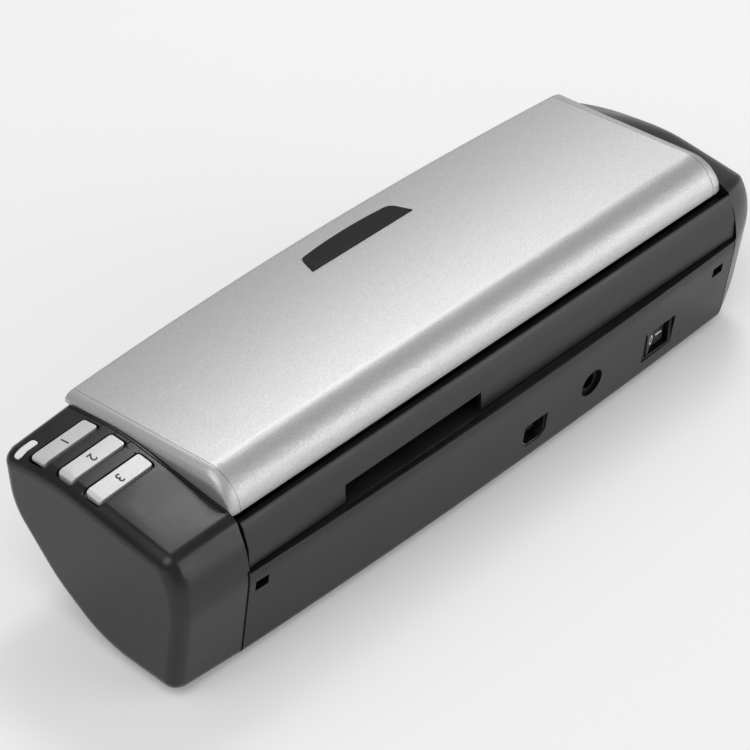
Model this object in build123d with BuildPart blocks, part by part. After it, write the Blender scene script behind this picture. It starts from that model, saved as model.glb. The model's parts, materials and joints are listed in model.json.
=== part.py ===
from build123d import *
import math
import os

# Compact sheet-fed document scanner: a bow-sectioned black body with a silver lid that
# tips back as a paper rest, push buttons on one end and the sockets along the rear.
# Frame: +X towards the button end, +Y towards the socket side, +Z up, origin on the
# table under the middle of the overall box. Millimetres throughout.

os.makedirs("parts", exist_ok=True)

# overall sizes
length = 303.0
button_cap_length = 30.5
plain_cap_length = 17.0
plain_cap_crown = 16.0
trim_width = 5.0
seam_gap = 0.35
wall = 2.2
cap_wall = 2.0
overrun = 5.0
running = 0.05
fit_gap = 0.3

# body section: corners of the outline at the seams and how far each is rounded
base_z = 1.0
heel_y = 43.0
heel_round = 5.0
flat_front_y = 7.5
flat_round = 45.0
sweep_y = -15.9
sweep_z = 14.6
sweep_round = 60.0
chin_y = -37.9
chin_z = 36.8
chin_round = 25.0
nose_y = -41.6
nose_z = 60.5
nose_round = 4.5
crown_y = -14.0
crown_z = 65.2
crown_round = 90.0
edge_y = 38.6
edge_z = 60.3
edge_round = 5.5
shoulder_y = 44.3
shoulder_z = 48.6
shoulder_round = 30.0
belly_y = 46.2
belly_z = 38.0
belly_round = 25.0
least_round = 0.4
rim_z = 40.2
front_bow = 5.0
rear_bow = 2.3
cap_drop = 2.0
cap_draw = 1.2
cap_edge = 5.2
cap_turns = (18, 36, 54, 72, 90)
dome_y = 25.0
dome_z = 52.0
dome_drop = 3.4
dome_narrow_share = 0.47
dome_rise_share = 0.54
dome_shares = (0, 0.06, 0.15, 0.27, 0.4, 0.54, 0.68, 0.8, 0.9, 0.96, 1)
dome_full_share = 0.97

# lid section
lid_front_y = -42.4
lid_lip_z = 60.5
lid_rear_y = 36.55
lid_skirt_z = 58.4
lid_crest_z = 70.0
lid_fold = 13.5
lid_pitch = 6.0
lid_skirt_pitch = 77.0
lid_nose = 1.5
lid_wall = 2.0
lid_roll = 4.2
lid_roll_depth = 6.0
lid_roll_tuck = 1.2
lid_roll_tilt = 3.0
lid_turns = (15, 30, 45, 60, 75, 90)
lid_web = 4.0
hinge_y = 33.3
hinge_z = 58.3
hinge_pin_r = 1.0
hinge_pin_length = 5.4
badge_length = 52.0
badge_width = 8.6
badge_thick = 0.8
badge_proud = 0.35
badge_shift = -4.35
badge_y = -33.3
badge_bow = 1.4
badge_slant = 3.0

# rear panel and rear guide
panel_near_gap = 1.4
panel_far_reach = 1.3
panel_foot_y = 44.2
panel_mid_y = 43.6
panel_mid_z = 48.5
panel_edge_y = 40.9
panel_edge_z = 56.0
panel_top_y = 39.6
panel_top_z = 57.4
panel_thick = 1.8
panel_lift = 0.4
guide_top_z = 55.0
guide_top_y = 35.6
guide_foot_y = 27.3
guide_foot_z = 46.5
guide_back_y = 38.6
guide_back_z = 49.0
slot_inset = 47.0
slot_length = 68.0
slot_high_z = 48.0
slot_lip = 2.6

# paper path
path_gap = 4.2
nip_lift = 0.4
nip_gap = 0.1
bed_drop = 0.3
bed_thick = 2.0
deck_top_z = 54.0
deck_rear_y = 22.0
deck_step_y = 19.2
deck_step_z = 48.5
lip_top_z = 60.0
front_shelf_y = -36.5

# rollers and shafts
shaft_r = 2.5
stub_r = 1.5
feed_y = 14.0
feed_roller_r = 6.0
exit_y = -22.4
exit_roller_r = 5.0
roller_length = 44.0
roller_pitch_share = 0.45
pinch_r = 3.5
pinch_length = 22.0
pinch_shaft_r = 1.25
pinch_end = 18.0
pinch_room = 1.0
pickup_y = 18.0
pickup_roller_r = 5.5
pickup_length = 40.0
pickup_tail = 8.0
bush_r = 3.4
bush_flange_r = 4.1
bush_flange = 0.8
pad_thick = 1.2
pad_length = 26.0
pad_rise = 4.3
pad_gap = 0.35

# gears
gear_module = 1.0
gear_width = 4.0
driver_teeth = 16
idler_teeth = 24
exit_teeth = 14
wheel_teeth = 36
pinion_teeth = 12
gear_inset = 3.2
gear_step = 1.1
motor_y = 25.5
motor_r = 10.0
motor_length = 42.0
motor_shaft_r = 1.0
motor_boss_r = 3.0
motor_boss = 1.6
idler_post_r = 2.0

# line sensors
sensor_margin = 7.0
sensor_width = 12.4
sensor_height = 11.5
upper_sensor_height = 8.2
sensor_room = 0.5
glass_width = 9.0
glass_thick = 1.2
glass_sink = 0.5
upper_sensor_y = -2.0
lower_sensor_y = -7.5

# paper guides on the chute plate
liner_z = 60.4
liner_thick = 1.6
liner_front_y = -33.0
liner_rear_y = 28.5
liner_inset = 4.25
guide_fin_thick = 2.2
guide_fin_front_y = -28.0
guide_fin_z = 55.0
guide_inset = 15.25
guide_narrow = 50.0
guide_neck_length = 4.0
guide_neck_y = 1.0
guide_neck_width = 5.0
rack_arm_width = 10.0
rack_module = 1.5
rack_pinion_teeth = 16
rack_bar = 3.4
rack_thick = 2.0
rack_past = 8.0
rack_y = 9.0
rack_lift = 0.4

# buttons and light
button_length = 23.6
button_width = 6.6
button_round = 1.0
button_pitch = 13.0
button_inset = 15.3
button_first_y = -24.8
button_gap = 0.25
well_margin = 1.1
well_depth = 1.3
button_proud = 0.5
button_height = 4.2
button_throw = 0.8
light_inset = 6.1
light_y = -33.4
light_length = 8.8
light_width = 3.2
light_height = 3.4
board_thick = 1.6
switch_side = 6.0
switch_height = 3.1
switch_dome = 0.5
switch_dome_r = 1.7

# sockets along the rear
usb_reach = 111.95
usb_z = 15.4
usb_width = 12.2
usb_height = 10.4
usb_chamfer = 2.6
usb_depth = 16.0
usb_sink = 1.6
usb_shell = 0.5
usb_tongue_width = 5.6
usb_tongue_height = 3.2
usb_tongue_back = 2.5
jack_reach = 81.0
jack_z = 19.4
jack_r = 5.5
jack_bore_r = 3.1
jack_pin_r = 1.0
jack_depth = 11.0
jack_sink = 2.6
jack_well = 8.0
power_reach = 41.35
power_z = 16.7
power_width = 17.4
power_height = 13.2
power_rim = 2.4
power_sink = 3.2
power_depth = 13.0
rocker_width = 12.4
rocker_room = 0.55
rocker_height = 9.6
rocker_pitch = 11.0
rocker_thick = 4.6
snap_near_inset = 5.7
snap_near_z = 32.8
snap_far_inset = 8.9
snap_far_z = 31.2
snap_width = 6.0
snap_height = 4.2

# main board and feet
main_board_far_inset = 26.5
main_board_near_inset = 57.0
main_board_low_y = 8.0
main_board_z = 8.4
main_board_high_y = 39.0
post_r = 2.4
post_inset = 6.0
chip_side = 18.0
chip_margin = 3.0
chip_height = 1.6
foot_length = 16.0
foot_width = 6.0
rear_foot_y = 34.0
front_foot_y = 13.5
foot_inset = 18.0
foot_sink = 0.6
front_foot_sink = 1.5

# shares of the tooth pitch and of the module
tooth_root_share = 0.62
tooth_pitch_share = 0.42
tooth_tip_share = 0.17
tooth_depth_share = 1.25
tooth_height_share = 0.9
chip_shares = (0.35, 0.85)

# places worked out from the sizes above
half_length = length / 2
button_seam_x = half_length - button_cap_length
plain_seam_x = -half_length + plain_cap_length
mid_x = (button_seam_x + plain_seam_x) / 2
trim_far_x = -half_length + plain_cap_crown
lid_near_x = button_seam_x - trim_width
lid_far_x = trim_far_x + trim_width
paper_x = (lid_near_x + lid_far_x) / 2
badge_x = paper_x + badge_shift
panel_near_x = button_seam_x - panel_near_gap
panel_far_x = plain_seam_x - panel_far_reach
slot_near_x = button_seam_x - slot_inset
slot_far_x = slot_near_x - slot_length
gear_near_x = button_seam_x + gear_inset
wheel_near_x = gear_near_x + gear_width + gear_step
guide_wide = lid_near_x - lid_far_x - 2 * guide_inset
sensor_length = guide_wide + 2 * sensor_margin
liner_length = lid_near_x - lid_far_x - 2 * liner_inset
roller_pitch = roller_pitch_share * sensor_length
pinch_span = roller_pitch + roller_length + 2 * pinch_end
button_x = button_seam_x + button_inset
light_x = half_length - light_inset
usb_x = plain_seam_x + usb_reach
jack_x = plain_seam_x + jack_reach
power_x = plain_seam_x + power_reach
snap_near_x = button_seam_x - snap_near_inset
snap_far_x = plain_seam_x + snap_far_inset
main_board_low_x = plain_seam_x + main_board_far_inset
main_board_high_x = button_seam_x - main_board_near_inset
nip_z = rim_z + nip_lift
deck_z = rim_z + path_gap
feed_z = nip_z - feed_roller_r
exit_z = nip_z - exit_roller_r
pinch_z = nip_z + nip_gap + pinch_r
driver_r = gear_module * driver_teeth / 2
idler_r = gear_module * idler_teeth / 2
wheel_r = gear_module * wheel_teeth / 2
pinion_r = gear_module * pinion_teeth / 2
pickup_z = feed_z + math.sqrt((2 * driver_r) ** 2 - (pickup_y - feed_y) ** 2)
motor_z = feed_z - math.sqrt((wheel_r + pinion_r) ** 2 - (motor_y - feed_y) ** 2)
drive_span = math.hypot(feed_y - exit_y, feed_z - exit_z)
exit_gear_r = gear_module * exit_teeth / 2
near_reach = driver_r + idler_r
far_reach = exit_gear_r + idler_r
idler_run = (near_reach ** 2 - far_reach ** 2 + drive_span ** 2) / (2 * drive_span)
idler_drop = math.sqrt(near_reach ** 2 - idler_run ** 2)
run_y = (exit_y - feed_y) / drive_span
run_z = (exit_z - feed_z) / drive_span
idler_y = feed_y + idler_run * run_y + idler_drop * run_z
idler_z = feed_z + idler_run * run_z + idler_drop * run_y


def side_plane(x):
    """Plane across the body at x, its own axes along +Y and +Z."""
    return Plane.YZ.offset(x)


def slab(low_x, high_x, low_y, high_y, low_z, high_z):
    """Box between two corners."""
    with BuildPart() as piece:
        with BuildSketch(Plane.XY.offset(low_z)):
            with Locations(((low_x + high_x) / 2, (low_y + high_y) / 2)):
                Rectangle(high_x - low_x, high_y - low_y)
        extrude(amount=high_z - low_z)
    return piece.part


def rod(low_x, high_x, y, z, radius, bore=0):
    """Round bar along X, with a bore when one is given."""
    with BuildPart() as piece:
        with BuildSketch(side_plane(low_x)):
            with Locations((y, z)):
                Circle(radius)
                if bore:
                    Circle(bore, mode=Mode.SUBTRACT)
        extrude(amount=high_x - low_x)
    return piece.part


def prism(low_x, high_x, points):
    """Straight bar along X with the given outline in Y and Z."""
    with BuildPart() as piece:
        with BuildSketch(side_plane(low_x)):
            Polygon(*points, align=None)
        extrude(amount=high_x - low_x)
    return piece.part


def disc(x, y, low_z, high_z, radius, bore=0):
    """Upright round bar, with a bore when one is given."""
    with BuildPart() as piece:
        with BuildSketch(Plane.XY.offset(low_z)):
            with Locations((x, y)):
                Circle(radius)
                if bore:
                    Circle(bore, mode=Mode.SUBTRACT)
        extrude(amount=high_z - low_z)
    return piece.part


def upright(points, low_z, high_z):
    """Upright bar with the given outline in X and Y."""
    with BuildPart() as piece:
        with BuildSketch(Plane.XY.offset(low_z)):
            Polygon(*points, align=None)
        extrude(amount=high_z - low_z)
    return piece.part


def tablet(x, y, low_z, high_z, size_x, size_y, radius):
    """Upright bar with a round-cornered outline."""
    with BuildPart() as piece:
        with BuildSketch(Plane.XY.offset(low_z)):
            with Locations((x, y)):
                RectangleRounded(size_x, size_y, radius)
        extrude(amount=high_z - low_z)
    return piece.part


def bar_y(x, z, width, height, low_y, high_y, chamfer_low=0):
    """Bar along Y centred on x and z, its two lower corners cut when asked."""
    side = width / 2
    rise = height / 2
    points = [(x - side, z + rise), (x + side, z + rise)]
    points += [(x + side, z - rise + chamfer_low), (x + side - chamfer_low, z - rise)]
    points += [(x - side + chamfer_low, z - rise), (x - side, z - rise + chamfer_low)]
    if not chamfer_low:
        points = [points[0], points[1], (x + side, z - rise), (x - side, z - rise)]
    with BuildPart() as piece:
        with BuildSketch(Plane.XZ.offset(-high_y)):
            Polygon(*points, align=None)
        extrude(amount=high_y - low_y)
    return piece.part


def rod_y(x, z, radius, low_y, high_y):
    """Round bar along Y."""
    with BuildPart() as piece:
        with BuildSketch(Plane.XZ.offset(-high_y)):
            with Locations((x, z)):
                Circle(radius)
        extrude(amount=high_y - low_y)
    return piece.part


def merged(solids, cuts=(), keep=None):
    """Solids joined, the cuts taken away, and only the part inside keep left."""
    with BuildPart() as piece:
        for solid in solids:
            add(solid)
        for solid in cuts:
            add(solid, mode=Mode.SUBTRACT)
        if keep is not None:
            add(keep, mode=Mode.INTERSECT)
    return piece


def hand_out(piece, node):
    """Name a finished piece and write its file."""
    piece.part.label = node
    export_step(piece.part, f"parts/{node}.step")


def moved_in(corners, inset):
    """Corners of a convex outline after every side has moved inwards."""
    sides = []
    for index, (y, z) in enumerate(corners):
        next_y, next_z = corners[(index + 1) % len(corners)]
        reach = math.hypot(next_y - y, next_z - z)
        along = ((next_y - y) / reach, (next_z - z) / reach)
        sides.append((y + inset * along[1], z - inset * along[0], along))
    moved = []
    for index, (y, z, (run, rise)) in enumerate(sides):
        last_y, last_z, (last_run, last_rise) = sides[index - 1]
        turn = last_run * rise - last_rise * run
        way = ((y - last_y) * rise - (z - last_z) * run) / turn
        moved.append((last_y + way * last_run, last_z + way * last_rise))
    return moved


def rounded_outline(x, corners, rounds, inset=0):
    """Face across the body with the given corners, moved in and rounded."""
    moved = moved_in(corners, inset)
    with BuildSketch(side_plane(x)) as outline:
        Polygon(*moved, align=None)
        for (y, z), size in zip(moved, rounds):
            fillet(
                outline.vertices().sort_by_distance((y, z))[0],
                radius=max(size - inset, least_round))
    return outline.sketch


def body_section(x, bow=0, back=0, drop=0, draw=0, inset=0, squeeze=0):
    """Outline of the body across its length, in by inset, out by the two bows."""
    stretch = (nose_y - bow + draw - flat_front_y) / (nose_y - flat_front_y)

    def front(y):
        return flat_front_y + stretch * (y - flat_front_y)

    rear = back - draw
    low = base_z + draw
    corners = [
        (heel_y + rear, low), (flat_front_y, low), (front(sweep_y), sweep_z + draw),
        (front(chin_y), chin_z), (front(nose_y), nose_z - drop),
        (front(crown_y), crown_z - drop), (edge_y + rear, edge_z - drop),
        (shoulder_y + rear, shoulder_z), (belly_y + rear, belly_z),
    ]
    rounds = [
        heel_round, flat_round, sweep_round, chin_round, nose_round, crown_round, edge_round,
        shoulder_round, belly_round,
    ]
    narrow = 1 - squeeze * dome_narrow_share
    low = 1 - squeeze * dome_rise_share
    corners = [(dome_y + narrow * (y - dome_y), dome_z + low * (z - dome_z)) for y, z in corners]
    return rounded_outline(x, corners, [size * low for size in rounds], inset)


def body_block(inset=0, end_wall=0):
    """The long middle of the body, bowed outwards front and rear."""
    ends = (plain_seam_x + end_wall, button_seam_x - end_wall)
    faces = [
        body_section(ends[0], inset=inset),
        body_section(mid_x, front_bow, rear_bow, inset=inset),
        body_section(ends[1], inset=inset),
    ]
    with BuildPart() as block:
        for face in faces:
            add(face)
        loft()
    return block.part


def cap_block(seam_x, end_x, inset=0):
    """End cap from the seam to its closed end, drawn in and rounded off."""
    way = math.copysign(1, end_x - seam_x)
    round_x = end_x - way * cap_edge
    stop_x = end_x - way * inset
    share = abs(round_x - seam_x) / abs(end_x - seam_x)
    faces = [
        body_section(seam_x, inset=inset),
        body_section(round_x, drop=cap_drop * share, draw=cap_draw * share, inset=inset),
    ]
    with BuildPart() as block:
        for face in faces:
            add(face)
        loft()
    rings = [faces[1]]
    edge = abs(stop_x - round_x)
    for turn in cap_turns:
        angle = math.radians(turn)
        rings.append(body_section(
            round_x + way * edge * math.sin(angle), drop=cap_drop, draw=cap_draw,
            inset=inset + cap_edge * (1 - math.cos(angle)),
        ))
    with BuildPart() as tip:
        for face in rings:
            add(face)
        loft(ruled=True)
    return merged([block.part, tip.part]).part


def dome_block(seam_x, end_x, inset=0):
    """Bulged end cap: its sections narrow and rise towards the closed end."""
    stop_x = end_x - math.copysign(inset, end_x - seam_x)
    with BuildPart() as block:
        for share in dome_shares:
            squeeze = 1 - math.sqrt(1 - dome_full_share * share)
            add(body_section(
                seam_x + share * (stop_x - seam_x), drop=squeeze * dome_drop, inset=inset,
                squeeze=squeeze))
        loft(ruled=True)
    return block.part


def lid_outline(x, bow=0, inset=0, floor=0, roll=0):
    """Outline of the lid across its length: lip, nose, long top, fold and skirt.

    Roll runs from 0 where the rolled end starts to 1 at its very end."""
    pitch = math.radians(lid_pitch - roll * lid_roll_tilt)
    skirt = math.radians(lid_skirt_pitch)
    start_z = lid_crest_z - lid_fold
    skirt_run = (start_z + lid_fold * math.cos(skirt) - lid_skirt_z) / math.tan(skirt)
    depth = roll * lid_roll_depth
    fold_z = start_z + depth * math.cos(skirt)
    fold_y = (
        lid_rear_y - skirt_run - (lid_fold - depth) * math.sin(skirt) - roll * lid_roll_tuck)
    radius = lid_fold - depth - inset
    front = lid_front_y - bow + inset + roll * lid_roll_tuck
    start = (fold_y - radius * math.sin(pitch), fold_z + radius * math.cos(pitch))
    end = (fold_y + radius * math.sin(skirt), fold_z + radius * math.cos(skirt))
    turn = (skirt - pitch) / 2
    middle = (fold_y + radius * math.sin(turn), fold_z + radius * math.cos(turn))
    low_z = lid_skirt_z - floor
    foot = (end[0] + (end[1] - low_z) / math.tan(skirt), low_z)
    top_z = start[1] - (start[0] - front) * math.tan(pitch)
    nose = max(lid_nose - inset - roll * lid_roll_tuck, seam_gap)
    with BuildSketch(side_plane(x)) as outline:
        with BuildLine():
            Line((front, lid_lip_z - floor), (front, top_z - nose))
            Spline(
                (front, top_z - nose), (front + nose, top_z + nose * math.tan(pitch)),
                tangents=((0, 1), (1, math.tan(pitch))),
            )
            Line((front + nose, top_z + nose * math.tan(pitch)), start)
            ThreePointArc(start, middle, end)
            Line(end, foot)
            Line(foot, (front, lid_lip_z - floor))
        make_face()
    return outline.sketch


def bow_at(x):
    """How far the lid's front bows out at x."""
    half_span = (button_seam_x - trim_far_x) / 2
    share = (x - paper_x) / half_span
    return front_bow * (1 - share * share)


def lid_block(low_x, high_x, inset=0, floor=0):
    """Length of lid between two cuts, following the bow of its front."""
    spots = (low_x, (low_x + high_x) / 2, high_x)
    faces = [lid_outline(x, bow_at(x), inset, floor) for x in spots]
    with BuildPart() as block:
        for face in faces:
            add(face)
        loft()
    return block.part


def trim_block(inner_x, outer_x):
    """End trim of the lid, its outer edge rolled down."""
    way = math.copysign(1, outer_x - inner_x)
    round_x = outer_x - way * lid_roll
    faces = [lid_outline(inner_x, bow_at(inner_x)), lid_outline(round_x, bow_at(round_x))]
    for turn in lid_turns:
        angle = math.radians(turn)
        x = round_x + way * lid_roll * math.sin(angle)
        faces.append(lid_outline(x, bow_at(x), roll=1 - math.cos(angle)))
    with BuildPart() as block:
        for face in faces:
            add(face)
        loft(ruled=True)
    return block.part


def tooth_points(teeth, module, phase):
    """Corner points of a gear outline, one tooth centred on the phase angle."""
    radius = module * teeth / 2
    root = radius - tooth_depth_share * module
    tip = radius + tooth_height_share * module
    half_pitch = math.pi / teeth
    points = []
    for tooth in range(teeth):
        middle = phase + 2 * half_pitch * tooth
        corners = (
            (-tooth_root_share, root), (-tooth_pitch_share, radius), (-tooth_tip_share, tip),
            (tooth_tip_share, tip), (tooth_pitch_share, radius), (tooth_root_share, root),
        )
        for share, reach in corners:
            angle = middle + share * half_pitch
            points.append((reach * math.cos(angle), reach * math.sin(angle)))
    return points


def gear(low_x, y, z, teeth, phase, bore):
    """Toothed wheel along X."""
    points = [(y + a, z + b) for a, b in tooth_points(teeth, gear_module, phase)]
    return merged(
        [prism(low_x, low_x + gear_width, points)],
        [rod(low_x - overrun, low_x + gear_width + overrun, y, z, bore)],
    ).part


def meshed(phase, teeth, other_teeth, angle):
    """Phase of a second gear whose gap meets a tooth of the first along the angle."""
    return angle + math.pi - teeth / other_teeth * (phase - angle) - math.pi / other_teeth


# body
span = half_length + overrun
above_rim = slab(-span, span, -half_length, half_length, rim_z, half_length)
near_inner_x = button_seam_x - wall
far_inner_x = plain_seam_x + wall
bore_r = bush_r + running
port_y = heel_y - overrun - wall
out_y = heel_y + 2 * overrun
housing_cuts = [
    body_block(wall, wall),
    above_rim,
    bar_y(usb_x, usb_z, usb_width + fit_gap, usb_height + fit_gap, port_y, out_y, usb_chamfer),
    rod_y(jack_x, jack_z, jack_r + fit_gap / 2, port_y, out_y),
    bar_y(power_x, power_z, power_width + fit_gap, power_height + fit_gap, port_y, out_y),
    bar_y(snap_near_x, snap_near_z, snap_width, snap_height, port_y, out_y),
    bar_y(snap_far_x, snap_far_z, snap_width, snap_height, port_y, out_y),
    rod(near_inner_x - overrun, button_seam_x + overrun, feed_y, feed_z, bore_r),
    rod(near_inner_x - overrun, button_seam_x + overrun, exit_y, exit_z, bore_r),
    rod(near_inner_x - overrun, button_seam_x + overrun, motor_y, motor_z, motor_boss_r + running),
    rod(plain_seam_x - overrun, far_inner_x + overrun, feed_y, feed_z, stub_r + running),
    rod(plain_seam_x - overrun, far_inner_x + overrun, exit_y, exit_z, stub_r + running),
]
board_posts = []
for x in (main_board_low_x + post_inset, main_board_high_x - post_inset):
    for y in (main_board_low_y + post_inset, main_board_high_y - post_inset):
        board_posts.append(disc(x, y, base_z + wall / 2, main_board_z, post_r))
shell = merged([body_block()], housing_cuts).part
idler_post = rod(
    near_inner_x + wall / 2, gear_near_x + gear_width + seam_gap, idler_y, idler_z, idler_post_r)
foot_cuts = []
foot_places = {
    "rear_foot_near": (button_seam_x - foot_inset, rear_foot_y, foot_sink),
    "rear_foot_far": (plain_seam_x + foot_inset, rear_foot_y, foot_sink),
    "front_foot_near": (button_seam_x - foot_inset, front_foot_y, front_foot_sink),
    "front_foot_far": (plain_seam_x + foot_inset, front_foot_y, front_foot_sink),
}
for node, (x, y, sink) in foot_places.items():
    with BuildPart() as pocket:
        with BuildSketch(Plane.XY.offset(base_z - overrun)):
            with Locations((x, y)):
                SlotOverall(foot_length + running, foot_width + running)
        extrude(amount=overrun + sink)
    foot_cuts.append(pocket.part)
    with BuildPart() as foot:
        with BuildSketch(Plane.XY):
            with Locations((x, y)):
                SlotOverall(foot_length, foot_width)
        extrude(amount=base_z + sink)
    hand_out(foot, node)
lower_housing = merged([shell, idler_post, *board_posts], foot_cuts)
hand_out(lower_housing, "lower_housing")

# end caps
near_cap = cap_block(button_seam_x, half_length)
near_hollow = cap_block(button_seam_x - overrun, half_length, cap_wall)
above_near = slab(
    button_seam_x, button_seam_x + cap_wall, -half_length, half_length, rim_z, half_length)
near_web = merged([near_cap], keep=above_near).part
well_cuts = []
surface_z = crown_z - cap_drop / 2 - seam_gap
button_top_z = surface_z + button_proud
button_low_z = button_top_z - button_height
switch_top_z = button_low_z - button_throw - running
board_top_z = switch_top_z - switch_dome - switch_height
button_rows = [button_first_y + row * button_pitch for row in range(3)]
under_well = cap_block(button_seam_x, half_length, well_depth)
for y in button_rows:
    column = tablet(
        button_x, y, crown_z - cap_drop - overrun, half_length, button_length + 2 * well_margin,
        button_width + 2 * well_margin, button_round + well_margin)
    well_cuts.append(merged([column], [under_well]).part)
    well_cuts.append(tablet(
        button_x, y, board_top_z, half_length, button_length + 2 * button_gap,
        button_width + 2 * button_gap, button_round + button_gap))
light_round = light_width / 2 - seam_gap
light_hole = tablet(
    light_x, light_y, board_top_z, half_length, light_length + 2 * button_gap,
    light_width + 2 * button_gap, light_round + button_gap)
pin_hole_near = rod(
    button_seam_x - overrun, button_seam_x + cap_wall + overrun, hinge_y, hinge_z,
    hinge_pin_r + running)
pickup_hole = rod(
    button_seam_x - overrun, button_seam_x + cap_wall + overrun, pickup_y, pickup_z,
    bush_r + running)
gear_room = rod(
    gear_near_x - running, gear_near_x + gear_width + running, exit_y, exit_z,
    exit_gear_r + gear_module + fit_gap)
cap_shell = merged([near_cap], [near_hollow, gear_room]).part
button_end_cap = merged(
    [cap_shell, near_web], [*well_cuts, light_hole, pin_hole_near, pickup_hole])
hand_out(button_end_cap, "button_end_cap")

# buttons, light window and the small board under them
proud_cap = cap_block(button_seam_x, half_length, -button_proud)
for node, y in zip(("button_one", "button_two", "button_three"), button_rows):
    button = merged([tablet(
        button_x, y, button_low_z, half_length, button_length, button_width, button_round)],
        keep=proud_cap)
    hand_out(button, node)
light_column = tablet(
    light_x, light_y, crown_z - cap_drop - light_height - cap_wall, half_length,
    light_length, light_width, light_round)
light_window = merged([near_cap], keep=light_column)
hand_out(light_window, "light_window")
board_parts = [slab(
    button_seam_x + cap_wall + fit_gap, half_length - cap_wall - cap_edge,
    nose_y + overrun, button_rows[2] + button_width - seam_gap,
    board_top_z - board_thick, board_top_z)]
for y in button_rows:
    board_parts.append(slab(
        button_x - switch_side / 2, button_x + switch_side / 2,
        y - switch_side / 2, y + switch_side / 2, board_top_z - running,
        board_top_z + switch_height))
    board_parts.append(disc(
        button_x, y, board_top_z + switch_height / 2, switch_top_z, switch_dome_r))
board_parts.append(slab(
    light_x - light_width, light_x - light_width / 2, light_y, light_y + light_width,
    board_top_z - running, board_top_z + chip_height))
button_board = merged(board_parts)
hand_out(button_board, "button_board")

far_cap = dome_block(plain_seam_x, -half_length)
far_hollow = dome_block(plain_seam_x - cap_wall, -half_length, cap_wall)
crown_notch = slab(
    trim_far_x, plain_seam_x + overrun, -half_length, half_length, lip_top_z - overrun, half_length)
panel_notch = slab(
    panel_far_x - fit_gap, plain_seam_x + overrun, guide_back_y, half_length, rim_z, half_length)
crown_web = merged([far_cap], keep=slab(
    trim_far_x - cap_wall, trim_far_x, -half_length, half_length, rim_z, half_length)).part
deck_web = merged([far_cap], keep=slab(
    trim_far_x, plain_seam_x, -half_length, half_length,
    lip_top_z - overrun - cap_wall, lip_top_z - overrun)).part
pin_hole_far = rod(
    trim_far_x - cap_wall - fit_gap, trim_far_x + overrun, hinge_y, hinge_z,
    hinge_pin_r + running)
far_shell = merged([far_cap], [far_hollow, crown_notch]).part
plain_end_cap = merged([far_shell, crown_web, deck_web], [panel_notch, pin_hole_far])
hand_out(plain_end_cap, "plain_end_cap")

# rear panel, with the card slot cut up from its lower edge
panel_low_z = rim_z + panel_lift
outer_points = [
    (panel_foot_y, panel_low_z), (panel_mid_y, panel_mid_z), (panel_edge_y, panel_edge_z),
    (panel_top_y, panel_top_z),
]
inner_points = [
    (panel_top_y - seam_gap, panel_top_z), (panel_edge_y - panel_thick, panel_edge_z - seam_gap),
    (panel_mid_y - panel_thick, panel_mid_z), (panel_foot_y - panel_thick, panel_low_z),
]
panel_bar = prism(panel_far_x, panel_near_x, outer_points + inner_points)
card_cut = slab(
    slot_far_x, slot_near_x, guide_back_y - overrun, half_length, rim_z - overrun, slot_high_z)
rear_panel = merged([panel_bar], [card_cut])
hand_out(rear_panel, "rear_panel")

# throat guide behind the paper, with a sloped lip over the card slot
frame_far_x = plain_seam_x + seam_gap
frame_near_x = button_seam_x - seam_gap
guide_low_z = deck_z + seam_gap
throat = prism(frame_far_x, panel_near_x, [
    (guide_top_y, guide_top_z), (guide_top_y + panel_thick, guide_top_z),
    (guide_back_y, guide_back_z), (guide_back_y, guide_low_z),
    (guide_foot_y, guide_low_z), (guide_foot_y, guide_foot_z),
])
card_lip = prism(slot_far_x, slot_near_x, [
    (guide_back_y, guide_low_z), (guide_back_y + slot_lip, slot_high_z - panel_lift),
    (guide_back_y + slot_lip, slot_high_z + panel_lift), (guide_back_y, slot_high_z + panel_lift),
])
pad_y = pickup_y + pickup_roller_r + pad_gap
pad_block = slab(
    paper_x - pad_length / 2, paper_x + pad_length / 2, pad_y + pad_thick, guide_back_y,
    pickup_z - pad_rise, pickup_z + pad_rise)
rear_guide = merged([throat, card_lip, pad_block])
hand_out(rear_guide, "rear_guide")
separation_pad = merged([slab(
    paper_x - pad_length / 2, paper_x + pad_length / 2, pad_y, pad_y + pad_thick,
    pickup_z - pad_rise, pickup_z + pad_rise)])
hand_out(separation_pad, "separation_pad")

# upper frame over the paper path
deck_keep = slab(frame_far_x, frame_near_x, -half_length, deck_rear_y, deck_z, lip_top_z)
frame_cuts = [
    slab(frame_far_x - overrun, frame_near_x + overrun, front_shelf_y, half_length,
         deck_top_z, half_length),
    prism(frame_far_x - overrun, frame_near_x + overrun, [
        (deck_rear_y, deck_step_z), (deck_rear_y + overrun, deck_step_z),
        (deck_rear_y + overrun, deck_z - overrun), (deck_step_y, deck_z - overrun),
        (deck_step_y, deck_z),
    ]),
]
sensor_low_x = paper_x - sensor_length / 2
sensor_high_x = paper_x + sensor_length / 2
frame_cuts.append(slab(
    sensor_low_x - sensor_room, sensor_high_x + sensor_room,
    upper_sensor_y - sensor_width / 2 - sensor_room, upper_sensor_y + sensor_width / 2 + sensor_room,
    deck_z - overrun, deck_top_z - wall / 2))
for y in (feed_y, exit_y):
    room = pinch_shaft_r + pinch_room / 2
    frame_cuts.append(slab(
        paper_x - pinch_span / 2 - seam_gap, paper_x + pinch_span / 2 + seam_gap,
        y - room, y + room, deck_z - overrun, pinch_z + room))
    for way in (-1, 1):
        x = paper_x + way * roller_pitch / 2
        reach = pinch_length / 2 + pinch_room
        frame_cuts.append(slab(
            x - reach, x + reach, y - pinch_r - pinch_room, y + pinch_r + pinch_room,
            deck_z - overrun, pinch_z + pinch_r + pinch_room))
pickup_low_x = paper_x - pickup_length / 2
pickup_high_x = paper_x + pickup_length / 2
frame_cuts.append(rod(
    pickup_low_x - pinch_room, pickup_high_x + pinch_room, pickup_y, pickup_z,
    pickup_roller_r + pinch_room))
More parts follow.
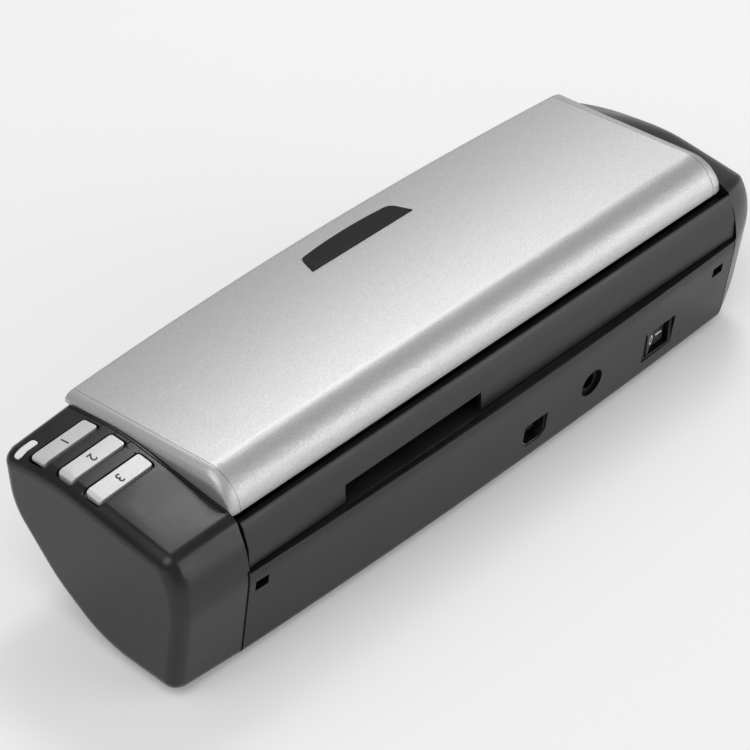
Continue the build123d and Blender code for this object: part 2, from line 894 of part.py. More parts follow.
frame_cuts.append(rod(
    pickup_low_x - pickup_tail, frame_near_x + overrun, pickup_y, pickup_z, shaft_r + running))
frame_cuts.append(rod(
    frame_near_x - bush_flange, frame_near_x + overrun, pickup_y, pickup_z,
    bush_flange_r + running))
upper_frame = merged([merged([body_block()], keep=deck_keep).part], frame_cuts)
hand_out(upper_frame, "upper_frame")

# lower paper bed inside the rim
bed_z = rim_z - bed_drop
bed_keep = slab(-span, span, -half_length, half_length, bed_z - bed_thick, bed_z)
bed_cuts = []
for y, z, radius in ((feed_y, feed_z, feed_roller_r), (exit_y, exit_z, exit_roller_r)):
    for way in (-1, 1):
        x = paper_x + way * roller_pitch / 2
        reach = roller_length / 2 + pinch_room
        bed_cuts.append(slab(
            x - reach, x + reach, y - radius - pinch_room, y + radius + pinch_room,
            bed_z - overrun, bed_z + overrun))
bush_clear_x = near_inner_x - bush_flange - seam_gap
bed_cuts.append(rod(-span, span, exit_y, exit_z, shaft_r + pinch_room))
for y in (feed_y, exit_y):
    bed_cuts.append(slab(
        bush_clear_x, span, y - bush_flange_r - seam_gap, y + bush_flange_r + seam_gap,
        bed_z - overrun, bed_z + overrun))
bed_cuts.append(slab(
    sensor_low_x - sensor_room, sensor_high_x + sensor_room,
    lower_sensor_y - sensor_width / 2 - sensor_room, lower_sensor_y + sensor_width / 2 + sensor_room,
    bed_z - overrun, bed_z + overrun))
bed_body = merged([body_block(wall + fit_gap, wall + fit_gap)], keep=bed_keep).part
lower_guide = merged([bed_body], bed_cuts)
hand_out(lower_guide, "lower_guide")

# rollers, their shafts and bushes
feed_shaft = merged([
    rod(far_inner_x + seam_gap, wheel_near_x + gear_width + seam_gap, feed_y, feed_z, shaft_r),
    rod(plain_seam_x + seam_gap, far_inner_x + 2 * seam_gap, feed_y, feed_z, stub_r),
])
hand_out(feed_shaft, "feed_shaft")
exit_shaft = merged([
    rod(far_inner_x + seam_gap, gear_near_x + gear_width + seam_gap, exit_y, exit_z, shaft_r),
    rod(plain_seam_x + seam_gap, far_inner_x + 2 * seam_gap, exit_y, exit_z, stub_r),
])
hand_out(exit_shaft, "exit_shaft")
for name, y, z, radius in (
    ("feed", feed_y, feed_z, feed_roller_r), ("exit", exit_y, exit_z, exit_roller_r),
):
    for side, way in (("near", 1), ("far", -1)):
        x = paper_x + way * roller_pitch / 2
        roller = merged([rod(
            x - roller_length / 2, x + roller_length / 2, y, z, radius, shaft_r + running)])
        hand_out(roller, f"{name}_roller_{side}")
    pinch_parts = [rod(
        paper_x - pinch_span / 2, paper_x + pinch_span / 2, y, pinch_z, pinch_shaft_r)]
    for way in (-1, 1):
        x = paper_x + way * roller_pitch / 2
        pinch_parts.append(rod(x - pinch_length / 2, x + pinch_length / 2, y, pinch_z, pinch_r))
    hand_out(merged(pinch_parts), f"{name}_pinch_roller")
    bush = merged([
        rod(near_inner_x - bush_flange, button_seam_x + bush_flange, y, z,
            bush_r, shaft_r + running),
        rod(near_inner_x - bush_flange, near_inner_x - running, y, z,
            bush_flange_r, shaft_r + running),
    ])
    hand_out(bush, f"{name}_bush")
pickup_shaft = merged([rod(
    pickup_low_x - pickup_tail + seam_gap, gear_near_x + gear_width + seam_gap,
    pickup_y, pickup_z, shaft_r)])
hand_out(pickup_shaft, "pickup_shaft")
pickup_roller = merged([rod(
    pickup_low_x, pickup_high_x, pickup_y, pickup_z, pickup_roller_r, shaft_r + running)])
hand_out(pickup_roller, "pickup_roller")
pickup_bush = merged([rod(
    button_seam_x - running, button_seam_x + cap_wall, pickup_y, pickup_z,
    bush_r, shaft_r + running)])
hand_out(pickup_bush, "pickup_bush")

# drive train in the button end cap
feed_phase = 0
up_angle = math.atan2(pickup_z - feed_z, pickup_y - feed_y)
idler_angle = math.atan2(idler_z - feed_z, idler_y - feed_y)
exit_angle = math.atan2(exit_z - idler_z, exit_y - idler_y)
motor_angle = math.atan2(motor_z - feed_z, motor_y - feed_y)
pickup_phase = meshed(feed_phase, driver_teeth, driver_teeth, up_angle)
idler_phase = meshed(feed_phase, driver_teeth, idler_teeth, idler_angle)
exit_phase = meshed(idler_phase, idler_teeth, exit_teeth, exit_angle)
pinion_phase = meshed(feed_phase, wheel_teeth, pinion_teeth, motor_angle)
sleeve = rod(
    gear_near_x + gear_width, wheel_near_x, feed_y, feed_z, driver_r - tooth_depth_share,
    shaft_r + running)
feed_gear = merged([
    gear(gear_near_x, feed_y, feed_z, driver_teeth, feed_phase, shaft_r + running),
    gear(wheel_near_x, feed_y, feed_z, wheel_teeth, feed_phase, shaft_r + running),
    sleeve,
])
hand_out(feed_gear, "feed_gear")
pickup_gear = merged([gear(
    gear_near_x, pickup_y, pickup_z, driver_teeth, pickup_phase, shaft_r + running)])
hand_out(pickup_gear, "pickup_gear")
exit_gear = merged([gear(
    gear_near_x, exit_y, exit_z, exit_teeth, exit_phase, shaft_r + running)])
hand_out(exit_gear, "exit_gear")
idler_gear = merged([gear(
    gear_near_x, idler_y, idler_z, idler_teeth, idler_phase, idler_post_r + running)])
hand_out(idler_gear, "idler_gear")
motor_pinion = merged([gear(
    wheel_near_x, motor_y, motor_z, pinion_teeth, pinion_phase, motor_shaft_r + running)])
hand_out(motor_pinion, "motor_pinion")
motor_shaft = merged([rod(
    near_inner_x - motor_boss, wheel_near_x + gear_width + seam_gap, motor_y, motor_z,
    motor_shaft_r)])
hand_out(motor_shaft, "motor_shaft")
motor_far_x = near_inner_x - fit_gap - motor_length
drive_motor = merged([
    rod(motor_far_x, near_inner_x - fit_gap, motor_y, motor_z, motor_r),
    rod(near_inner_x - fit_gap, near_inner_x + motor_boss, motor_y, motor_z, motor_boss_r),
], [rod(
    near_inner_x - motor_boss - fit_gap, near_inner_x + overrun, motor_y, motor_z,
    motor_shaft_r + running)])
hand_out(drive_motor, "drive_motor")

# line sensors and their glasses
lower_sensor_z = bed_z + nip_lift - sensor_height
upper_face_z = deck_z - seam_gap
lower_glass_z = lower_sensor_z + sensor_height - glass_thick
for name, y, z, height, glass_z in (
    ("upper", upper_sensor_y, upper_face_z, upper_sensor_height, upper_face_z),
    ("lower", lower_sensor_y, lower_sensor_z, sensor_height, lower_glass_z),
):
    low_y = y - sensor_width / 2
    sensor = merged(
        [slab(sensor_low_x, sensor_high_x, low_y, low_y + sensor_width, z, z + height)],
        [slab(sensor_low_x + glass_sink, sensor_high_x - glass_sink, y - glass_width / 2,
              y + glass_width / 2, glass_z, glass_z + glass_thick)])
    hand_out(sensor, f"{name}_sensor")
    glass = merged([slab(
        sensor_low_x + glass_sink, sensor_high_x - glass_sink, y - glass_width / 2,
        y + glass_width / 2, glass_z, glass_z + glass_thick)])
    hand_out(glass, f"{name}_glass")

# lid
lid_low_x = lid_far_x
lid_high_x = lid_near_x
lid_solid = lid_block(lid_low_x, lid_high_x)
lid_hollow = lid_block(lid_low_x - overrun, lid_high_x + overrun, lid_wall, overrun)
half_badge = badge_length / 2
front_half = half_badge - badge_slant
badge_front_y = badge_y - badge_width / 2
badge_rear_y = badge_y + badge_width / 2
with BuildPart() as badge_column:
    with BuildSketch(Plane.XY.offset(lid_lip_z)):
        with BuildLine():
            Polyline(
                (badge_x - front_half, badge_front_y), (badge_x - half_badge, badge_rear_y),
                (badge_x + half_badge, badge_rear_y), (badge_x + front_half, badge_front_y))
            ThreePointArc(
                (badge_x + front_half, badge_front_y), (badge_x, badge_front_y - badge_bow),
                (badge_x - front_half, badge_front_y))
        make_face()
    extrude(amount=lid_crest_z)
badge_skin = merged(
    [lid_block(lid_low_x, lid_high_x, -badge_proud)],
    [lid_block(lid_low_x - overrun, lid_high_x + overrun, badge_thick - badge_proud, overrun)],
    keep=badge_column.part)
top_lid = merged([lid_solid], [lid_hollow, badge_skin.part])
hand_out(top_lid, "top_lid")
hand_out(badge_skin, "badge_plate")

for name, inner_x, outer_x in (
    ("near", lid_near_x + seam_gap / 2, button_seam_x - seam_gap),
    ("far", lid_far_x - seam_gap / 2, trim_far_x + seam_gap),
):
    way = math.copysign(1, outer_x - inner_x)
    web_x = outer_x - way * lid_web
    hollow_ends = sorted((inner_x - way * overrun, web_x))
    hollow = lid_block(hollow_ends[0], hollow_ends[1], lid_wall, overrun)
    pin_ends = sorted((web_x - way * overrun, outer_x + way * overrun))
    pin_bore = rod(pin_ends[0], pin_ends[1], hinge_y, hinge_z, hinge_pin_r)
    boss_ends = sorted((web_x, outer_x))
    boss = rod(boss_ends[0], boss_ends[1], hinge_y, hinge_z, hinge_pin_r + lid_wall / 2)
    trim = merged([trim_block(inner_x, outer_x), boss], [hollow, pin_bore])
    hand_out(trim, f"{name}_lid_trim")
    pin_tip_x = outer_x + way * (cap_wall + seam_gap / 2)
    tips = sorted((pin_tip_x, pin_tip_x - way * hinge_pin_length))
    hinge_pin = merged([rod(tips[0], tips[1], hinge_y, hinge_z, hinge_pin_r)])
    hand_out(hinge_pin, f"{name}_hinge_pin")

# chute plate under the lid, with slots for the paper guides
liner_low_x = paper_x - liner_length / 2
liner_high_x = paper_x + liner_length / 2
rack_pitch_r = rack_module * rack_pinion_teeth / 2
half_wide = guide_wide / 2
half_narrow = guide_narrow / 2
neck_rear_y = guide_neck_y + guide_neck_width
rack_z = liner_z + liner_thick + rack_lift
liner_cuts = []
for way in (1, -1):
    ends = sorted((
        paper_x + way * (half_wide + guide_neck_length + fit_gap),
        paper_x + way * (half_narrow - fit_gap)))
    liner_cuts.append(slab(
        ends[0], ends[1], guide_neck_y - fit_gap, neck_rear_y + fit_gap,
        liner_z - overrun, liner_z + overrun))
chute_liner = merged(
    [slab(liner_low_x, liner_high_x, liner_front_y, liner_rear_y,
          liner_z, liner_z + liner_thick),
     disc(paper_x, rack_y, liner_z + liner_thick / 2, rack_z + rack_thick, stub_r)],
    liner_cuts)
hand_out(chute_liner, "chute_liner")

# two paper guides that close on the sheet together through racks and a pinion
rack_step = math.pi * rack_module
rack_phase = math.pi / 2
for node, way in (("near_paper_guide", 1), ("far_paper_guide", -1)):
    pitch_y = rack_y + way * rack_pitch_r
    root_y = pitch_y + way * tooth_depth_share * rack_module
    tip_y = pitch_y - way * tooth_height_share * rack_module
    bar_end_y = root_y + way * rack_bar
    inner_x = paper_x - way * rack_past
    outer_x = paper_x + way * (half_wide + guide_neck_length)
    face_x = paper_x + way * half_wide
    bar_x = sorted((inner_x, outer_x))
    bar_sides = sorted((root_y, bar_end_y))
    solids = [slab(bar_x[0], bar_x[1], bar_sides[0], bar_sides[1], rack_z, rack_z + rack_thick)]
    for tooth in range(-1, int((half_wide - rack_arm_width) / rack_step)):
        middle = paper_x + way * (tooth * rack_step + rack_step / 2)
        root = tooth_root_share * rack_step / 2
        waist = tooth_pitch_share * rack_step / 2
        tip = tooth_tip_share * rack_step / 2
        over_y = root_y + way * running
        solids.append(upright([
            (middle - root, over_y), (middle - waist, pitch_y), (middle - tip, tip_y),
            (middle + tip, tip_y), (middle + waist, pitch_y), (middle + root, over_y),
        ], rack_z, rack_z + rack_thick))
    arm_x = sorted((outer_x, outer_x - way * rack_arm_width))
    arm_y = sorted((guide_neck_y if way > 0 else neck_rear_y, bar_end_y))
    solids.append(slab(arm_x[0], arm_x[1], arm_y[0], arm_y[1], rack_z, rack_z + rack_thick))
    neck_x = sorted((face_x, outer_x))
    solids.append(slab(
        neck_x[0], neck_x[1], guide_neck_y, neck_rear_y, liner_z - rack_lift - running,
        rack_z + running))
    fin_x = sorted((face_x, face_x + way * guide_fin_thick))
    solids.append(slab(
        fin_x[0], fin_x[1], guide_fin_front_y, neck_rear_y, guide_fin_z, liner_z - rack_lift))
    hand_out(merged(solids), node)
pinion_points = [
    (paper_x + a, rack_y + b) for a, b in tooth_points(rack_pinion_teeth, rack_module, rack_phase)]
guide_pinion = merged(
    [upright(pinion_points, rack_z, rack_z + rack_thick)],
    [disc(paper_x, rack_y, rack_z - overrun, rack_z + overrun, stub_r + running)])
hand_out(guide_pinion, "guide_pinion")

# sockets and power switch in the rear wall
face_y = belly_y + rear_bow / 2
usb_back_y = face_y - usb_depth
usb_face_y = face_y - usb_sink
usb_cavity = bar_y(
    usb_x, usb_z, usb_width - 2 * usb_shell, usb_height - 2 * usb_shell,
    usb_back_y + usb_tongue_back, face_y + overrun, usb_chamfer - usb_shell)
usb_block = bar_y(usb_x, usb_z, usb_width, usb_height, usb_back_y, usb_face_y, usb_chamfer)
usb_socket = merged([usb_block], [usb_cavity])
hand_out(usb_socket, "usb_socket")
usb_tongue = merged([bar_y(
    usb_x, usb_z, usb_tongue_width, usb_tongue_height, usb_back_y + usb_tongue_back,
    usb_face_y - usb_tongue_back)])
hand_out(usb_tongue, "usb_tongue")

jack_face_y = face_y - jack_sink
jack_back_y = jack_face_y - jack_depth
jack_block_y = heel_y - heel_round
board_face_z = main_board_z + board_thick
jack_foot = slab(
    jack_x - jack_r, jack_x + jack_r, jack_back_y, jack_block_y, board_face_z, jack_z)
jack_well_y = jack_face_y - jack_well
dc_jack = merged(
    [rod_y(jack_x, jack_z, jack_r, jack_back_y, jack_face_y), jack_foot],
    [rod_y(jack_x, jack_z, jack_bore_r, jack_well_y, jack_face_y + overrun)])
hand_out(dc_jack, "dc_jack")
jack_pin = merged([rod_y(
    jack_x, jack_z, jack_pin_r, jack_well_y, jack_face_y - usb_tongue_back)])
hand_out(jack_pin, "jack_pin")

power_face_y = face_y - power_rim
power_pivot_y = power_face_y - power_sink
power_switch = merged(
    [bar_y(power_x, power_z, power_width, power_height, power_face_y - power_depth, power_face_y)],
    [bar_y(power_x, power_z, rocker_width + 2 * rocker_room, rocker_height + 2 * fit_gap,
           power_pivot_y - rocker_thick, power_face_y + overrun)])
hand_out(power_switch, "power_switch")
tilt = math.radians(rocker_pitch)
half_rocker = rocker_width / 2
rocker_points = []
for across, out in (
    (-half_rocker, rocker_thick / 2), (0, rocker_thick / 4), (half_rocker, rocker_thick / 2),
    (half_rocker, -rocker_thick / 4), (0, -rocker_thick / 2), (-half_rocker, -rocker_thick / 4),
):
    rocker_points.append((
        power_x + across * math.cos(tilt) - out * math.sin(tilt),
        power_pivot_y + across * math.sin(tilt) + out * math.cos(tilt)))
power_rocker = merged([upright(
    rocker_points, power_z - rocker_height / 2, power_z + rocker_height / 2)])
hand_out(power_rocker, "power_rocker")

# main board with its two larger chips
chip_y = main_board_low_y + chip_margin + chip_side / 2
board_solids = [slab(
    main_board_low_x, main_board_high_x, main_board_low_y, main_board_high_y,
    main_board_z, board_face_z)]
for share in chip_shares:
    x = main_board_low_x + share * (main_board_high_x - main_board_low_x)
    board_solids.append(slab(
        x - chip_side / 2, x + chip_side / 2, chip_y - chip_side / 2, chip_y + chip_side / 2,
        board_face_z - running, board_face_z + chip_height))
main_board = merged(board_solids)
hand_out(main_board, "main_board")
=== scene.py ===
import json
import math
from contextlib import contextmanager

import bpy
from mathutils import Matrix, Vector

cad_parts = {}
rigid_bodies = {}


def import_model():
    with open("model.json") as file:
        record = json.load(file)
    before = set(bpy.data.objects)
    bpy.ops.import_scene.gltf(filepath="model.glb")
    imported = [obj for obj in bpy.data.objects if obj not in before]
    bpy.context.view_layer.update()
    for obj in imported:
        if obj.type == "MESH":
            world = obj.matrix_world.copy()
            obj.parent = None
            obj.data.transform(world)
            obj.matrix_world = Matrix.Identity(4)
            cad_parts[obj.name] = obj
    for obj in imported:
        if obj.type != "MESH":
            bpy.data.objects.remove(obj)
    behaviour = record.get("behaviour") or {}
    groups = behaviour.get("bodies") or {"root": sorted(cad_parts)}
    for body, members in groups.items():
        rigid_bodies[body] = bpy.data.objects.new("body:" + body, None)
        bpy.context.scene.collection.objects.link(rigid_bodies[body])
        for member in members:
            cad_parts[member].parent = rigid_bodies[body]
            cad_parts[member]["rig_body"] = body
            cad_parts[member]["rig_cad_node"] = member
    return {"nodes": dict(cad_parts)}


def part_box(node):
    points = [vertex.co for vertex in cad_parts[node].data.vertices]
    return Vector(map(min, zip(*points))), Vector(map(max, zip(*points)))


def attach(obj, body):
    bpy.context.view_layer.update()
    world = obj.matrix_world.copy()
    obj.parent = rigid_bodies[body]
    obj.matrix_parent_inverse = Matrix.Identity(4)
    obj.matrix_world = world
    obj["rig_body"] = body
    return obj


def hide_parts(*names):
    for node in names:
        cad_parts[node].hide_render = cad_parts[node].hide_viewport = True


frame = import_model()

bl_info = {
    "name": "Sheetfed scanner looks",
    "version": (1, 0, 0),
    "blender": (4, 5, 0),
    "location": "3D View > Sidebar > Scanner",
    "description": "Finishes and small details for a compact sheetfed document scanner",
    "category": "Object",
}

# the photo's frame and the camera that sees the scanner as the photo does
PHOTO_SIDE = 750
FOCAL_PIXELS = 3158.0
SENSOR = 36.0
VIEW_TURN, VIEW_RISE, VIEW_ROLL = 130.9177, 39.5327, 2.9811
VIEW_DISTANCE = 1.11995
VIEW_SIDE, VIEW_UP = 0.0076596, 0.0035653
VIEW_TARGET = Vector((0.0, -0.0003, 0.031))
FAR_CLIP = 100

# studio: each lamp's name, direction from the scanner, distance, width, height and power
LAMPS = (
    ("front_softbox", (-0.55, -0.50, 0.67), 1.7, 0.9, 0.5, 2.2),
    ("edge_softbox", (-0.49, -0.37, 0.79), 1.7, 0.42, 0.42, 5.2),
    ("side_softbox", (0.55, 0.1, 0.9), 1.6, 1.2, 1.2, 9),
    ("rear_softbox", (-0.58, 0.78, 0.22), 1.6, 1.2, 0.7, 7),
)
FLOOR_TONE, FLOOR_LIFT = 0.90, 0.16
SKY_TONE, SKY_STRENGTH = 0.80, 0.40

# copies of CAD pieces: how they are merged, rounded and shaded
MERGE_STEP = 0.000001
FLAT_ANGLE, EDGE_ANGLE = math.radians(0.05), math.radians(32)
SMOOTH_ANGLE = math.radians(38)
FACE_WEIGHT = 50
FINE_EDGE, SMALL_EDGE, PLAIN_EDGE, CAP_EDGE, WALL_EDGE = 0.0001, 0.0002, 0.0003, 0.00045, 0.0006
ROUND_STEPS = 3
BADGE_CORNER, CORNER_STEPS = 0.0025, 6
CORNER_ANGLE, UPRIGHT_SHARE = math.radians(40), 0.7
PIN_SHARE = 0.95

# printed marks, and painted shade lines standing in for the shade inside the parting gaps: heights
# above the piece, sizes and places
MARK_PROUD = 0.00004
CAPITAL_SHARE = 0.70
NUMBER_BOLD, ROCKER_BOLD = 0.02, 0.045
NUMBER_DROP, ROCKER_DROP = 0.001, 0.002
ROCKER_MARK_HEIGHT, ROCKER_MARK_LOW = 0.0034, 0.0006
ROCKER_MARKS = (("O", "rocker_off_mark", 0.0021), ("I", "rocker_on_mark", -0.0033))
STRIP_DROP, STRIP_CUTS, STRIP_MISS = 0.1, 60, 0.001
# painted shade lines: the two on the near cap beside the lid trim, with name, distance from the
# trim and width, then the two down the rear wall
TRIM_SEAM_SHADES = (("near_seam_inner_shade", 0.0, 0.0007), ("near_seam_outer_shade", 0.00125, 0.0004))
SEAM_FOOT, SEAM_REACH = 0.002, 0.001
NEAR_SEAM_SHIFT, NEAR_SEAM_WIDTH = 0.0001, 0.0009
FAR_SEAM_SHIFT, FAR_SEAM_WIDTH = -0.0008, 0.0007

# grain: the spans of noise that are spread out, and its scales
MIDDLE_SPAN, WIDE_SPAN, GLINT_SPAN = (0.35, 0.65), (0.3, 0.7), (0.36, 0.66)
CLOUD_SCALE, FLAKE_SCALE, PATCH_SCALE = 60, 2600, 900
BODY_GRAIN, PANEL_GRAIN = 2600, 3200
GRAIN_DEPTH, FLAKE_DEPTH, FLAKE_HEIGHT = 0.00002, 0.00001, 0.0000025
CROWN_MIDDLE, LID_CROWN = -0.010, 1.6

# inner pieces: nodes, finish name, colour, roughness and what else the finish needs
DRIVE_FINISHES = (
    (("feed_shaft", "exit_shaft", "pickup_shaft", "motor_shaft"),
     "shaft_steel", (0.56, 0.57, 0.58), 0.25, {"metallic": 1.0, "scale": 900}),
    (("feed_roller_near", "feed_roller_far", "exit_roller_near", "exit_roller_far",
      "pickup_roller", "separation_pad"),
     "roller_rubber", (0.035, 0.036, 0.038), 0.75, {"scale": 1500, "depth": 0.00005}),
    (("feed_pinch_roller", "exit_pinch_roller", "feed_gear", "exit_gear",
      "pickup_gear", "idler_gear", "motor_pinion"),
     "gear_natural", (0.70, 0.69, 0.62), 0.42, {"scale": 500}),
    (("feed_bush", "exit_bush", "pickup_bush"),
     "bush_bronze", (0.45, 0.28, 0.12), 0.4, {"metallic": 1.0, "scale": 1200}),
    (("drive_motor",), "motor_can", (0.42, 0.43, 0.45), 0.3, {"metallic": 1.0, "scale": 700}),
    (("upper_sensor", "lower_sensor"), "sensor_black", (0.02, 0.02, 0.021), 0.5, {"scale": 900}),
    (("rear_foot_near", "rear_foot_far", "front_foot_near", "front_foot_far"),
     "foot_rubber", (0.03, 0.03, 0.031), 0.85, {"scale": 1800, "depth": 0.00006}),
)
GUIDE_FINISHES = (
    (("chute_liner",), "liner_grey", (0.16, 0.163, 0.168), 0.5, {"scale": 700}),
    (("near_paper_guide", "far_paper_guide"),
     "guide_dark", (0.05, 0.05, 0.052), 0.45, {"scale": 900}),
    (("guide_pinion",), "gear_cream", (0.72, 0.70, 0.62), 0.45, {"scale": 500}),
)


class Wire:
    """A shader value that can stand in Python sums."""

    def __init__(self, recipe, socket):
        self.recipe = recipe
        self.socket = socket

    def sum(self, operation, other, swapped=False):
        values = [other, self] if swapped else [self, other]
        return self.recipe.output(
            "ShaderNodeMath", 0, {"operation": operation}, dict(enumerate(values)))

    def __add__(self, other): return self.sum("ADD", other)
    def __radd__(self, other): return self.sum("ADD", other)
    def __sub__(self, other): return self.sum("SUBTRACT", other)
    def __rsub__(self, other): return self.sum("SUBTRACT", other, True)
    def __mul__(self, other): return self.sum("MULTIPLY", other)
    def __rmul__(self, other): return self.sum("MULTIPLY", other)


class Recipe:
    """A procedural material: nodes are added by type, settings and inputs."""

    SOCKETS = {
        "colour": "Base Color", "roughness": "Roughness", "metallic": "Metallic",
        "coat": "Coat Weight", "specular": "Specular IOR Level", "ior": "IOR",
        "transmission": "Transmission Weight", "glow": "Emission Color",
        "glow_strength": "Emission Strength",
    }

    def __init__(self, name):
        self.material = bpy.data.materials.new(name)
        self.material.use_nodes = True
        self.tree = self.material.node_tree
        self.shader = next(n for n in self.tree.nodes if n.type == "BSDF_PRINCIPLED")
        self.place = self.output("ShaderNodeTexCoord", "Object")

    def feed(self, socket, value):
        if isinstance(value, Wire):
            self.tree.links.new(value.socket, socket)
        else:
            socket.default_value = value

    def output(self, kind, name, settings=None, inputs=None):
        """Adds a node, sets it up and returns one of its outputs."""
        made = self.tree.nodes.new(kind)
        for key, value in (settings or {}).items():
            setattr(made, key, value)
        for key, value in (inputs or {}).items():
            self.feed(made.inputs[key], value)
        return Wire(self, made.outputs[name])

    def noise(self, scale, detail, roughness=0.5):
        return self.output("ShaderNodeTexNoise", "Fac", None, {
            "Vector": self.place, "Scale": scale, "Detail": detail, "Roughness": roughness})

    def remap(self, value, span, new_low, new_high):
        return self.output("ShaderNodeMapRange", "Result", None, {
            "Value": value, "From Min": span[0], "From Max": span[1],
            "To Min": new_low, "To Max": new_high})

    def blend(self, factor, one, two):
        return self.output(
            "ShaderNodeMix", 2, {"data_type": "RGBA"}, {0: factor, 6: one, 7: two})

    def bump(self, height, depth, strength=1.0):
        normal = self.output("ShaderNodeBump", "Normal", None, {
            "Height": height, "Distance": depth, "Strength": strength})
        self.feed(self.shader.inputs["Normal"], normal)

    def set(self, **values):
        for key, value in values.items():
            self.feed(self.shader.inputs[self.SOCKETS[key]], value)


def shade(colour, share):
    """A colour made darker or lighter by a share, with its alpha."""
    return tuple(min(c * share, 1) for c in colour) + (1.0,)


def coat_with(names, recipe):
    """Gives CAD pieces one finish."""
    for name in names:
        mesh = frame["nodes"][name].data
        mesh.materials.clear()
        mesh.materials.append(recipe.material)


def satin_black(name, colour, roughness, grain, specular=0.5):
    """Moulded black plastic with a fine spark-eroded grain and faint wear in its sheen."""
    made = Recipe(name)
    cloud = made.noise(CLOUD_SCALE, 3)
    fine = made.noise(grain, 2, 0.6)
    made.set(
        colour=made.blend(
            made.remap(cloud, MIDDLE_SPAN, 0, 1), shade(colour, 0.85), shade(colour, 1.2)),
        roughness=made.remap(cloud, WIDE_SPAN, roughness - 0.04, roughness + 0.05),
        specular=specular)
    made.bump(fine, GRAIN_DEPTH, 0.3)
    return made


def silver_paint(name, colour, roughness, contrast=0.12, crown=0.0, metallic=0.65):
    """Metallic silver paint: bright flakes of a third of a millimetre over a soft base.

    A crown bows the shading of the flat top a little from front to rear."""
    made = Recipe(name)
    flakes = made.noise(FLAKE_SCALE, 1)
    patches = made.noise(PATCH_SCALE, 2, 0.6)
    base = made.blend(
        made.remap(flakes, GLINT_SPAN, 0, 1), shade(colour, 1 - contrast),
        shade(colour, 1 + contrast))
    made.set(
        colour=made.blend(
            made.remap(patches, MIDDLE_SPAN, 0, 0.25), base, shade(colour, 1 - contrast / 2)),
        metallic=metallic,
        roughness=made.remap(flakes, WIDE_SPAN, roughness + 0.05, roughness - 0.05))
    if crown:
        depth = made.output("ShaderNodeSeparateXYZ", "Y", None, {0: made.place}) - CROWN_MIDDLE
        made.bump(flakes * FLAKE_HEIGHT - depth * depth * crown, 1.0)
    else:
        made.bump(flakes, FLAKE_DEPTH, 0.25)
    return made


def plain_finish(name, colour, roughness, metallic=0.0, scale=300, depth=GRAIN_DEPTH, coat=0.0,
                 specular=0.5):
    """A simple moulded or machined finish with its own grain."""
    made = Recipe(name)
    cloud = made.noise(scale, 3, 0.55)
    made.set(
        colour=made.blend(
            made.remap(cloud, WIDE_SPAN, 0, 1), shade(colour, 0.9), shade(colour, 1.1)),
        roughness=made.remap(cloud, WIDE_SPAN, max(roughness - 0.05, 0.02), roughness + 0.05),
        metallic=metallic, coat=coat, specular=specular)
    made.bump(cloud, depth, 0.4)
    return made


def finish_all(table):
    """Gives each row of CAD pieces in a table its own plain finish."""
    for nodes, name, colour, roughness, rest in table:
        coat_with(nodes, plain_finish(name, colour, roughness, **rest))


def deselect():
    bpy.ops.object.select_all(action="DESELECT")


def pick(obj):
    """Makes one object the only selected and active one."""
    deselect()
    obj.select_set(True)
    bpy.context.view_layer.objects.active = obj


@contextmanager
def editing(obj, action="SELECT"):
    """Edit mode on one object, with all of it selected or none of it."""
    pick(obj)
    bpy.ops.object.mode_set(mode="EDIT")
    bpy.ops.mesh.select_all(action=action)
    yield
    bpy.ops.object.mode_set(mode="OBJECT")


def settle(obj, name, recipe, body):
    """Applies an object's place and modifiers, gives it its finish and lets it ride."""
    pick(obj)
    for modifier in list(obj.modifiers):
        bpy.ops.object.modifier_apply(modifier=modifier.name)
    bpy.ops.object.transform_apply(location=True, rotation=True, scale=True)
    obj.name = name
    obj.data.name = name
    obj.data.materials.clear()
    obj.data.materials.append(recipe.material)
    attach(obj, body)


def round_front(copy, radius):
    """Rounds the upright corners in the front half of a thin plate."""
    mesh = copy.data
    rows = [v.co.y for v in mesh.vertices]
    middle = (min(rows) + max(rows)) / 2
    sides = {}
    for face in mesh.polygons:
        for key in face.edge_keys:
            sides.setdefault(key, []).append(face.normal.copy())
    with editing(copy, "DESELECT"):
        bpy.ops.mesh.select_mode(type="EDGE")
    for edge in mesh.edges:
        one, two = (mesh.vertices[i].co for i in edge.vertices)
        normals = sides[edge.key]
        upright = abs((two - one).normalized().z) > UPRIGHT_SHARE
        front = (one.y + two.y) / 2 < middle
        edge.select = upright and front and normals[0].angle(normals[-1]) > CORNER_ANGLE
    bpy.ops.object.mode_set(mode="EDIT")
    bpy.ops.mesh.bevel(offset=radius, segments=CORNER_STEPS, affect="EDGES")
    bpy.ops.mesh.select_mode(type="VERT")
    bpy.ops.object.mode_set(mode="OBJECT")


def soften(node, recipe, edge=PLAIN_EDGE, steps=2, corner=0.0):
    """Stands a merged copy in for a CAD piece, with small round edges and smooth curves."""
    source = frame["nodes"][node]
    body = source["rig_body"]
    pick(source)
    bpy.ops.object.duplicate()
    copy = bpy.context.object
    del copy["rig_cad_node"]
    bpy.ops.object.parent_clear(type="CLEAR_KEEP_TRANSFORM")
    with editing(copy):
        bpy.ops.mesh.remove_doubles(threshold=MERGE_STEP)
        bpy.ops.mesh.dissolve_limited(angle_limit=FLAT_ANGLE)
    if corner:
        round_front(copy, corner)
    bevel = copy.modifiers.new("soft_edge", "BEVEL")
    bevel.width = edge
    bevel.segments = steps
    bevel.limit_method = "ANGLE"
    bevel.angle_limit = EDGE_ANGLE
    bevel.use_clamp_overlap = True
    bpy.ops.object.modifier_apply(modifier=bevel.name)
    bpy.ops.object.shade_smooth_by_angle(angle=SMOOTH_ANGLE)
    steady = copy.modifiers.new("steady_shade", "WEIGHTED_NORMAL")
    steady.mode = "FACE_AREA"
    steady.weight = FACE_WEIGHT
    steady.keep_sharp = True
    settle(copy, node + "_skin", recipe, body)
    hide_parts(node)
    return copy


